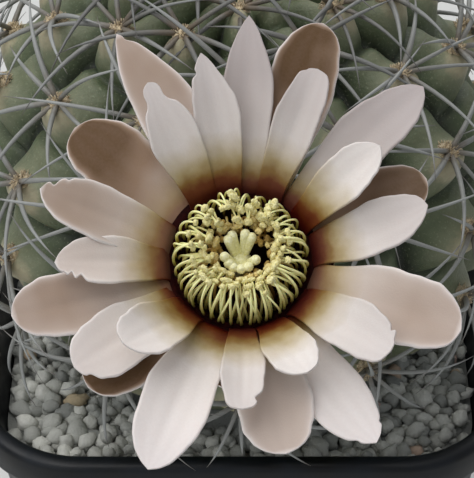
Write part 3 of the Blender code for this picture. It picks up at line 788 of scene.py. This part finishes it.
# Share of the full width by share of the length, for each kind of tip. All are 1 at the root
# and end in 0.
OUTLINES = {
    "point": ((0.50, 1), (0.66, 0.90), (0.80, 0.66), (0.90, 0.40), (0.96, 0.20)),
    "ogive": ((0.56, 1), (0.72, 0.94), (0.84, 0.77), (0.92, 0.54), (0.97, 0.29)),
    "broad": ((0.66, 1), (0.79, 0.94), (0.89, 0.76), (0.95, 0.54), (0.985, 0.28)),
    "blunt": ((0.62, 1), (0.80, 0.90), (0.93, 0.72), (0.975, 0.55), (0.992, 0.3)),
    "knob": ((0.52, 1), (0.68, 0.84), (0.77, 0.66), (0.81, 0.46), (0.86, 0.35), (0.92, 0.36),
             (0.96, 0.30), (0.985, 0.18)),
}
# For each whorl: the heights of roots and tips over the throat, and how far the edges rise.
WHORLS = {
    "inner": (0.75 * MM, 10.5 * MM, 0.16),
    "middle": (0.35 * MM, 8.0 * MM, 0.11),
    "outer": (-0.05 * MM, 5.5 * MM, 0.05),
    "back": (-0.4 * MM, 2.2 * MM, 0.02),
}
# The distance from the axis at which the material's reach value is 1.
REACH_UNIT = 40 * MM
PETAL_ROWS = 76
PETAL_COLUMNS = 25
PETAL_THICKNESS = 0.34 * MM
# The petals' roots stand a little within the throat's edge.
PETAL_START = THROAT_RADIUS - 0.25 * MM
# The outlines are read at this many places and smoothed over this many of them.
TIP_SAMPLES = 401
TIP_BLUR = 17


def tip_width(share, tip):
    """How the width falls off towards the tip, with the outline's corners rounded off."""
    places, widths = zip((0, 1), *OUTLINES[tip], (1, 0))
    fine = np.linspace(0, 1, TIP_SAMPLES)
    outline = np.interp(fine, places, widths)
    window = np.hanning(TIP_BLUR)
    pad = TIP_BLUR // 2
    padded = np.concatenate([np.ones(pad), outline, -outline[-2:-2 - pad:-1]])
    outline = np.convolve(padded, window / window.sum(), "valid")
    return np.interp(share, fine, np.clip(outline, 0, 1))


def petal_half(number, share, across, phases):
    """Half the width, with wavy edges and the petal's nicks."""
    _, _, width, _, tip, _, _ = PETALS[number - 1]
    ragged = 1 + 0.030 * np.sin(share * 15 + across * 1.6 + phases[0])
    ragged = ragged + 0.012 * np.sin(share * 43 + across * 3 + phases[1]) * share
    for side, place, depth, span in NICKS.get(number, ()):
        bite = np.exp(-((share - place) / span) ** 2) * smooth_step(0.1, 0.9, across * side)
        ragged = ragged - depth * bite
    widening = 0.62 + 0.38 * smooth_step(0, 0.55, share)
    return width / 2 * MM * widening * tip_width(share, tip) * ragged


def petal_height(number, share, radius, bowl, ripple, rng):
    """Height over the throat: the whorl's slope, a dip at the root, raised edges and folds."""
    _, _, width, whorl, _, _, _ = PETALS[number - 1]
    root, end, rise = WHORLS[whorl]
    arch = np.sin(np.pi * np.clip(share * 0.9, 0, 1))
    height = root + (end - root) * (1.35 * share - 0.35 * share ** 2)
    height = height + (rng.uniform(-1.0, 0.8) * MM) * share ** 3
    height = height - 1.3 * MM * np.exp(-((radius - PETAL_START) / (0.75 * MM)) ** 2)
    height = height + rise * width * MM * bowl ** 2 * arch
    height = height + rng.uniform(-0.08, 0.08) * width * MM * bowl * share
    height = height - 0.14 * MM * np.exp(-(bowl / 0.22) ** 2) * np.sin(np.pi * share)
    return height + 0.28 * MM * ripple * share * (1.3 - share)


def petal_surface(number, rng):
    """One petal's points in rows from root to tip, and the values its material reads."""
    clock, reach, width, _, _, brown_and_painted_shade, skew = PETALS[number - 1]
    rows = 1 - np.linspace(1, 0, PETAL_ROWS) ** 1.35
    share, across = np.meshgrid(rows, np.linspace(-1, 1, PETAL_COLUMNS), indexing="ij")
    # The last three draws only keep the later ones in their places.
    phases = [rng.uniform(0, math.tau) for _ in range(6)]
    half = petal_half(number, share, across, phases)
    length = reach * MM - PETAL_START
    radius = PETAL_START + length * share
    bowl = half * across / (width / 2 * MM)
    ripple = np.sin(share * 8 + phases[2] + across * 1.8) * np.abs(bowl) ** 1.5
    height = petal_height(number, share, radius, bowl, ripple, rng)
    drift = rng.uniform(-0.015, 0.015) * length * np.sin(share * math.pi)
    side = half * across + drift + skew * MM * share ** 2.5
    turn = np.radians(clock)
    out = math.sin(turn) * RIGHT + math.cos(turn) * BACK
    sideways = math.cos(turn) * RIGHT - math.sin(turn) * BACK
    points = THROAT + out * radius[..., None] + sideways * side[..., None]
    points = points + AXIS * height[..., None]
    far = np.hypot(radius, side) / REACH_UNIT
    values = dict(reach=far.ravel(), across=across.ravel(), along=share.ravel(), brown_and_painted_shade=brown_and_painted_shade)
    return points, values


def make_petals(material):
    rng = random.Random(SEED + 1)
    for number in range(1, len(PETALS) + 1):
        points, values = petal_surface(number, rng)
        soup = Soup()
        soup.add(points, grid_faces(PETAL_ROWS, PETAL_COLUMNS), **values)
        petal = soup.build("petal_%02d" % number, material, "petal", "petals")
        thick = petal.modifiers.new("thickness", "SOLIDIFY")
        thick.thickness = PETAL_THICKNESS
        thick.offset = -1


def turned(soup, profile, steps, **values):
    """A profile of (radius, height) pairs turned about the bloom's axis."""
    clock = np.arange(steps) * 360 / steps
    rows = [bloom_points(clock, np.full(steps, r), np.full(steps, h)) for r, h in profile]
    soup.add(np.concatenate(rows), grid_faces(len(profile), steps, closed=True), **values)


def funnel_radius(height):
    share = np.clip(1 + height / FUNNEL_DEPTH, 0, 1)
    return 4.8 * MM + (THROAT_RADIUS - 4.8 * MM) * share ** 0.85


# The collar of the grown-together petal roots: radius and height over the throat, in millimetres.
COLLAR = ((9.1, -0.9), (9.5, -0.2), (10.1, 0.0), (10.8, -0.15), (12.0, -0.4), (12.7, -0.6))


def make_funnel(material, lining):
    """The green funnel, the collar on its rim and the throat's lining."""
    heights = np.linspace(-FUNNEL_DEPTH, 0, 12)
    soup = Soup()
    profile = [(0.1 * MM, -FUNNEL_DEPTH - 1.2 * MM), (5.7 * MM, -FUNNEL_DEPTH - 1.2 * MM)]
    profile += [(funnel_radius(h) + 1.4 * MM, h - 0.5 * MM) for h in heights[:-1]]
    profile += [(11.5 * MM, -1.1 * MM), (12.7 * MM, -0.9 * MM), (12.85 * MM, -0.65 * MM)]
    profile += [(THROAT_RADIUS + 1.2 * MM, -0.6 * MM), (THROAT_RADIUS + 0.1 * MM, -0.3 * MM)]
    turned(soup, profile, 72, edge=0.25)
    soup.build("funnel", material, "petal", "petals")
    collar = Soup()
    turned(collar, [(radius * MM, height * MM) for radius, height in COLLAR], 96)
    collar.build("petal_collar", lining, "petal", "petals")
    soup = Soup()
    profile = [(THROAT_RADIUS, -0.3 * MM), (THROAT_RADIUS - 0.3 * MM, -0.6 * MM)]
    profile += [(funnel_radius(h) - 0.6 * MM, h - 0.4 * MM) for h in reversed(heights)]
    profile += [(0.1 * MM, -FUNNEL_DEPTH - 0.2 * MM)]
    turned(soup, profile, 72)
    soup.build("throat_lining", lining, "petal", "stamens")


def add_scale(soup, place, ahead, spoke, radius, size):
    """One pointed bract with a paler edge, pressed to the tube."""
    side = np.cross(ahead, spoke)
    share, across = np.meshgrid(np.linspace(0, 1, 9), np.linspace(-1, 1, 7), indexing="ij")
    half = 1.5 * MM * size * np.sqrt(np.clip(1 - share ** 2.2, 0, 1))
    lift = radius + 0.25 * MM + 0.75 * MM * share ** 1.3
    lift = lift - 0.5 * MM * across ** 2 * (1 - share * 0.3)
    points = place + ahead * ((share - 0.3) * 4.4 * MM * size)[..., None]
    points = points + spoke * lift[..., None] + side * (half * across)[..., None]
    edge = np.maximum(np.abs(across) ** 4, smooth_step(0.75, 1, share)) * 0.8
    soup.add(points, grid_faces(9, 7), edge=edge.ravel())


def make_tube(material):
    """The bloom's tube, with bracts in a spiral up it."""
    shares = np.linspace(0, 1, 26)
    path = tube_path(shares)
    radii = (3.4 + 2.4 * shares + 0.25 * np.sin(shares * 9)) * MM
    soup = Soup()
    vertices, faces, _ = sweep(path, radii, 28, tip=0.0)
    soup.add(vertices, faces, edge=0.0)
    soup.build("tube", material, "flower_tube", "flower_tube")
    scales = Soup()
    for index in range(TUBE_SCALES):
        share = 0.10 + 0.80 * index / (TUBE_SCALES - 1)
        place = tube_path([share])[0]
        ahead = tube_path([share + 0.02])[0] - place
        ahead /= np.linalg.norm(ahead)
        side = np.cross(ahead, RIGHT)
        side /= np.linalg.norm(side)
        angle = math.radians(GOLDEN_ANGLE * index)
        spoke = side * math.cos(angle) + np.cross(ahead, side) * math.sin(angle)
        add_scale(scales, place, ahead, spoke, (3.4 + 2.4 * share) * MM, 0.8 + 0.5 * share)
    piece = scales.build("tube_scales", material, "flower_tube", "flower_tube")
    thick = piece.modifiers.new("thickness", "SOLIDIFY")
    thick.thickness = 0.35 * MM


def add_stamen(stalks, anthers, clock, root, top, deep, rng):
    """A filament that arches inwards, with its anther. Root and top are radius and height."""
    share = np.linspace(0, 1, 14)
    rest = 1 - share
    bulge = rng.uniform(-0.2, 1.2) * MM
    radius = root[0] * rest ** 2 + (root[0] + bulge) * 2 * rest * share + top[0] * share ** 2
    bow = root[1] + (top[1] - root[1]) * rng.uniform(0.85, 1.1)
    height = root[1] * rest ** 2 + bow * 2 * rest * share + top[1] * share ** 2
    swing = rng.uniform(-13, 13) * share ** 1.5
    points = bloom_points(clock + swing, radius, height)
    thickness = rng.uniform(0.17, 0.25) * MM
    vertices, faces, along = sweep(points, thickness * (1 - 0.35 * share), 7)
    stalks.add(vertices, faces, along=along, deep=deep)
    add_anther(anthers, points[-1], points[-1] - points[-3], deep, rng)


def add_anther(soup, centre, ahead, deep, rng):
    """A lobed, granular pollen sac."""
    ahead = ahead / np.linalg.norm(ahead)
    twist = np.array([rng.uniform(-1, 1) for _ in range(3)])
    long = np.cross(ahead, twist)
    long /= np.linalg.norm(long)
    wide = np.cross(ahead, long)
    rows, columns = 11, 14
    tilt, turn = polar_grid(rows, columns, 0.02, 0.98)
    size = rng.uniform(0.75, 1.08)
    groove = 1 - 0.22 * np.exp(-((np.mod(turn, math.pi) - math.pi / 2) / 0.4) ** 2)
    grain = 1 + 0.2 * np.sin(turn * 5 + tilt * 7 + rng.uniform(0, 6)) * np.sin(tilt * 9)
    girth = np.sin(tilt) * groove * grain * random_grid(rng, rows, columns, 0.72, 1.28)
    points = centre + long * (np.cos(tilt) * 0.72 * MM * size)[..., None]
    points = points + wide * (np.cos(turn) * girth * 0.5 * MM * size)[..., None]
    points = points + ahead * (np.sin(turn) * girth * 0.46 * MM * size)[..., None]
    soup.add(points, capped_grid(rows, columns), deep=deep)


# Series of stamens: count, root radius and height and anther radius and height in
# millimetres, and how tan they are.
STAMENS = (
    (50, 8.9, -0.5, 6.7, 5.9, 0.0),
    (38, 8.5, -1.6, 5.7, 5.1, 0.0),
    (38, 7.7, -3.4, 5.1, 4.2, 0.15),
    (42, 6.9, -5.2, 4.7, 3.1, 0.5),
    (40, 5.8, -6.6, 4.2, 1.8, 0.85),
)


def make_stamens(stalk, pollen):
    """All the series. In the bloom's lower half the anthers stand nearer its axis."""
    rng = random.Random(SEED + 2)
    stalks, anthers = Soup(), Soup()
    for count, root_radius, root_height, top_radius, top_height, deep in STAMENS:
        for index in range(count):
            clock = 360 * (index + rng.uniform(-0.3, 0.3)) / count
            root = (root_radius * MM, root_height * MM)
            radius = top_radius * (0.95 + 0.09 * math.cos(math.radians(clock)))
            radius = radius + rng.uniform(-1.1, 1.0)
            top = (radius * MM, (top_height + rng.uniform(-1.1, 0.8)) * MM)
            add_stamen(stalks, anthers, clock, root, top, deep, rng)
    stalks.build("filaments", stalk, "stamen", "stamens")
    anthers.build("anthers", pollen, "stamen", "stamens")


# Clock angles of the stigma's lobes. The four upper ones stand in two pairs.
LOBES = (318, 337, 14, 31, 110, 148, 179, 208, 232, 257)


def make_pistil(material):
    """The style and the fat lobes that spread from its end."""
    rng = random.Random(SEED + 3)
    soup = Soup()
    shares = np.linspace(0, 1, 8)
    heights = -FUNNEL_DEPTH + (FUNNEL_DEPTH + 0.4 * MM) * shares
    column = bloom_points(np.zeros(8), np.zeros(8), heights)
    vertices, faces, _ = sweep(column, np.full(8, 1.5 * MM), 16)
    soup.add(vertices, faces)
    for clock in LOBES:
        spread = rng.uniform(1.9, 2.3) * MM * (0.82 + 0.18 * math.cos(math.radians(clock)))
        length = rng.uniform(4.0, 4.7) * MM
        s = np.linspace(0, 1, 16)
        radius = 0.9 * MM + spread * s ** 0.85
        height = -0.2 * MM + length * s
        points = bloom_points(clock + rng.uniform(-3, 3) * s, radius, height)
        ends = np.sqrt(np.clip(1 - (np.clip(s - 0.84, 0, 1) / 0.165) ** 2, 0.04, 1))
        radii = (0.55 + 0.17 * s) * MM * ends
        vertices, faces, _ = sweep(points, radii, 14)
        soup.add(vertices, faces)
    soup.build("stigma", material, "stigma", "pistil")


def in_rounded_square(x, y, half, corner):
    dx = max(abs(x) - (half - corner), 0)
    dy = max(abs(y) - (half - corner), 0)
    return math.hypot(dx, dy) <= corner


def pebble_shapes(rng):
    """A few worn stones, as point arrays on one shared grid."""
    rows, columns = 7, 10
    tilt, turn = polar_grid(rows, columns, 0.03, 0.97)
    girth = np.sin(tilt)
    unit = np.stack([girth * np.cos(turn), girth * np.sin(turn), np.cos(tilt)], -1).reshape(-1, 3)
    shapes = []
    for _ in range(PEBBLE_KINDS):
        shift = Vector([rng.uniform(-9, 9) for _ in range(3)])
        scale = np.array([rng.uniform(0.8, 1.25), rng.uniform(0.7, 1.05), rng.uniform(0.55, 0.85)])
        bumps = np.array([1 + 0.42 * noise.noise(Vector(p) * 1.3 + shift) for p in unit])
        shapes.append(unit * bumps[:, None] * scale)
    return shapes, capped_grid(rows, columns)


def pebble_places(rng):
    """Centres for pebbles between the body and the pot's wall. The top layer has gaps."""
    count = int(POT_RIM_HALF / PEBBLE_PITCH) + 2
    cells = range(-count, count + 1)
    reach = wall_half(GRAVEL_BED) - POT_WALL - 1.1 * MM
    corner = wall_corner(GRAVEL_BED) - POT_WALL - 1.0 * MM
    for layer, rise in enumerate(PEBBLE_LAYERS):
        for row, column in itertools.product(cells, cells):
            if layer == 2 and rng.random() < 0.55:
                continue
            x = (column + 0.5 * (row % 2) + rng.uniform(-0.3, 0.3)) * PEBBLE_PITCH * 1.08
            y = (row + rng.uniform(-0.3, 0.3)) * PEBBLE_PITCH
            if in_rounded_square(x, y, reach, corner) and math.hypot(x, y) >= BODY_CLEARANCE:
                yield x, y, GRAVEL_BED + rise * MM


def make_gravel(material):
    """Loose pebbles over a flat bed."""
    rng = random.Random(SEED + 4)
    shapes, faces = pebble_shapes(rng)
    soup = Soup()
    for x, y, z in pebble_places(rng):
        size = rng.uniform(*PEBBLE_SIZES) * MM
        tone = rng.random() * (1.0 if rng.random() < 0.5 else 0.9)
        turn = Matrix.Rotation(rng.uniform(0, math.tau), 3, "Z")
        tilt = Matrix.Rotation(rng.uniform(-0.7, 0.7), 3, "X")
        points = rng.choice(shapes) @ np.array(turn @ tilt).T * size
        centre = np.array((x, y, z + rng.uniform(-0.3, 0.3) * MM))
        soup.add(points + centre, faces, tone=tone)
    soup.build("grit", material, "gravel", "gravel")
    make_bed(material)


def make_bed(material):
    points = []
    for z in (GRAVEL_BED - 3 * MM, GRAVEL_BED - 0.5 * MM):
        half = wall_half(z) - POT_WALL - 0.3 * MM
        points += rounded_square(half, wall_corner(z) - POT_WALL - 0.3 * MM, z, 12)
    bed = Soup()
    bed.add(points, capped_grid(2, len(points) // 2), tone=0.1)
    bed.build("grit_bed", material, "gravel", "gravel")


def make_floor():
    """A pale matt floor just under the pot, for the pictures only."""
    bpy.ops.mesh.primitive_plane_add(size=6, location=(0, 0, -0.0002))
    floor = bpy.context.object
    floor.name = "floor"
    material, tree, shader = new_material("floor", 0.9)
    clouds = noise_of(tree, 3, 2)
    shade = ramp(tree, clouds, ((0.0, (0.62, 0.62, 0.60)), (1.0, (0.68, 0.68, 0.66))))
    paint(tree, shader, shade)
    floor.data.materials.append(material)


def add_light(name, place, target, size, power, colour):
    data = bpy.data.lights.new(name, "AREA")
    data.size = size
    data.energy = power
    data.color = colour
    lamp = bpy.data.objects.new(name, data)
    lamp.location = place
    lamp.rotation_euler = (Vector(target) - Vector(place)).to_track_quat("-Z", "Y").to_euler()
    bpy.context.scene.collection.objects.link(lamp)


def make_lights():
    """A soft light from above, weaker ones from the left front and behind, and a pale sky."""
    bloom = tuple(THROAT)
    add_light("key", (-0.28, -0.03, 0.84), bloom, 0.85, 5.4, (1.0, 0.99, 0.975))
    add_light("fill", (-0.45, -0.65, 0.42), bloom, 0.7, 0.9, (0.92, 0.96, 1.0))
    add_light("rim", (0.1, 0.7, 0.6), (0, 0, 0.1), 0.6, 2.0, (1.0, 1.0, 1.0))
    world = bpy.data.worlds.new("studio")
    world.use_nodes = True
    sky = world.node_tree.nodes["Background"]
    sky.inputs["Color"].default_value = (0.86, 0.90, 0.95, 1)
    sky.inputs["Strength"].default_value = 0.38
    bpy.context.scene.world = world
    bpy.context.scene.view_settings.view_transform = "Standard"


def make_camera():
    """The photograph's view, with the throat in its pixel."""
    forward = np.array([0, math.cos(VIEW_DOWN), -math.sin(VIEW_DOWN)])
    up = np.array([0, math.sin(VIEW_DOWN), math.cos(VIEW_DOWN)])
    pixel = VIEW_HEIGHT / IMAGE_HEIGHT
    place = THROAT - forward * VIEW_DISTANCE
    place = place - RIGHT * (THROAT_PIXEL[0] - IMAGE_WIDTH / 2) * pixel
    place = place + up * (THROAT_PIXEL[1] - IMAGE_HEIGHT / 2) * pixel
    data = bpy.data.cameras.new("camera")
    data.sensor_width = 36
    data.lens = data.sensor_width * VIEW_DISTANCE / VIEW_HEIGHT
    data.clip_start = 0.01
    camera = bpy.data.objects.new("camera", data)
    camera.location = place
    camera.rotation_euler = (math.pi / 2 - VIEW_DOWN, 0, 0)
    bpy.context.scene.collection.objects.link(camera)
    bpy.context.scene.camera = camera


def dress_nodes():
    """The soil's own solid is kept and only gets its material."""
    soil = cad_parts["soil"]
    soil.data.materials.clear()
    soil.data.materials.append(soil_material())


def build():
    make_camera()
    make_lights()
    make_floor()
    dress_nodes()
    make_pot(plastic_material())
    make_gravel(stone_material())
    make_body(skin_material())
    make_spines(spine_material(), wool_material())
    green = tube_material()
    make_tube(green)
    maroon = grained_material(
        "throat", linear(26, 6, 8), linear(46, 14, 12), 0.85, Specular_IOR_Level=0.1)
    make_funnel(green, maroon)
    make_petals(petal_material())
    make_stamens(filament_material(), anther_material())
    cream = grained_material(
        "stigma", linear(228, 222, 160), linear(250, 248, 214), 0.6, 3000.0, 0.00012)
    make_pistil(cream)


build()
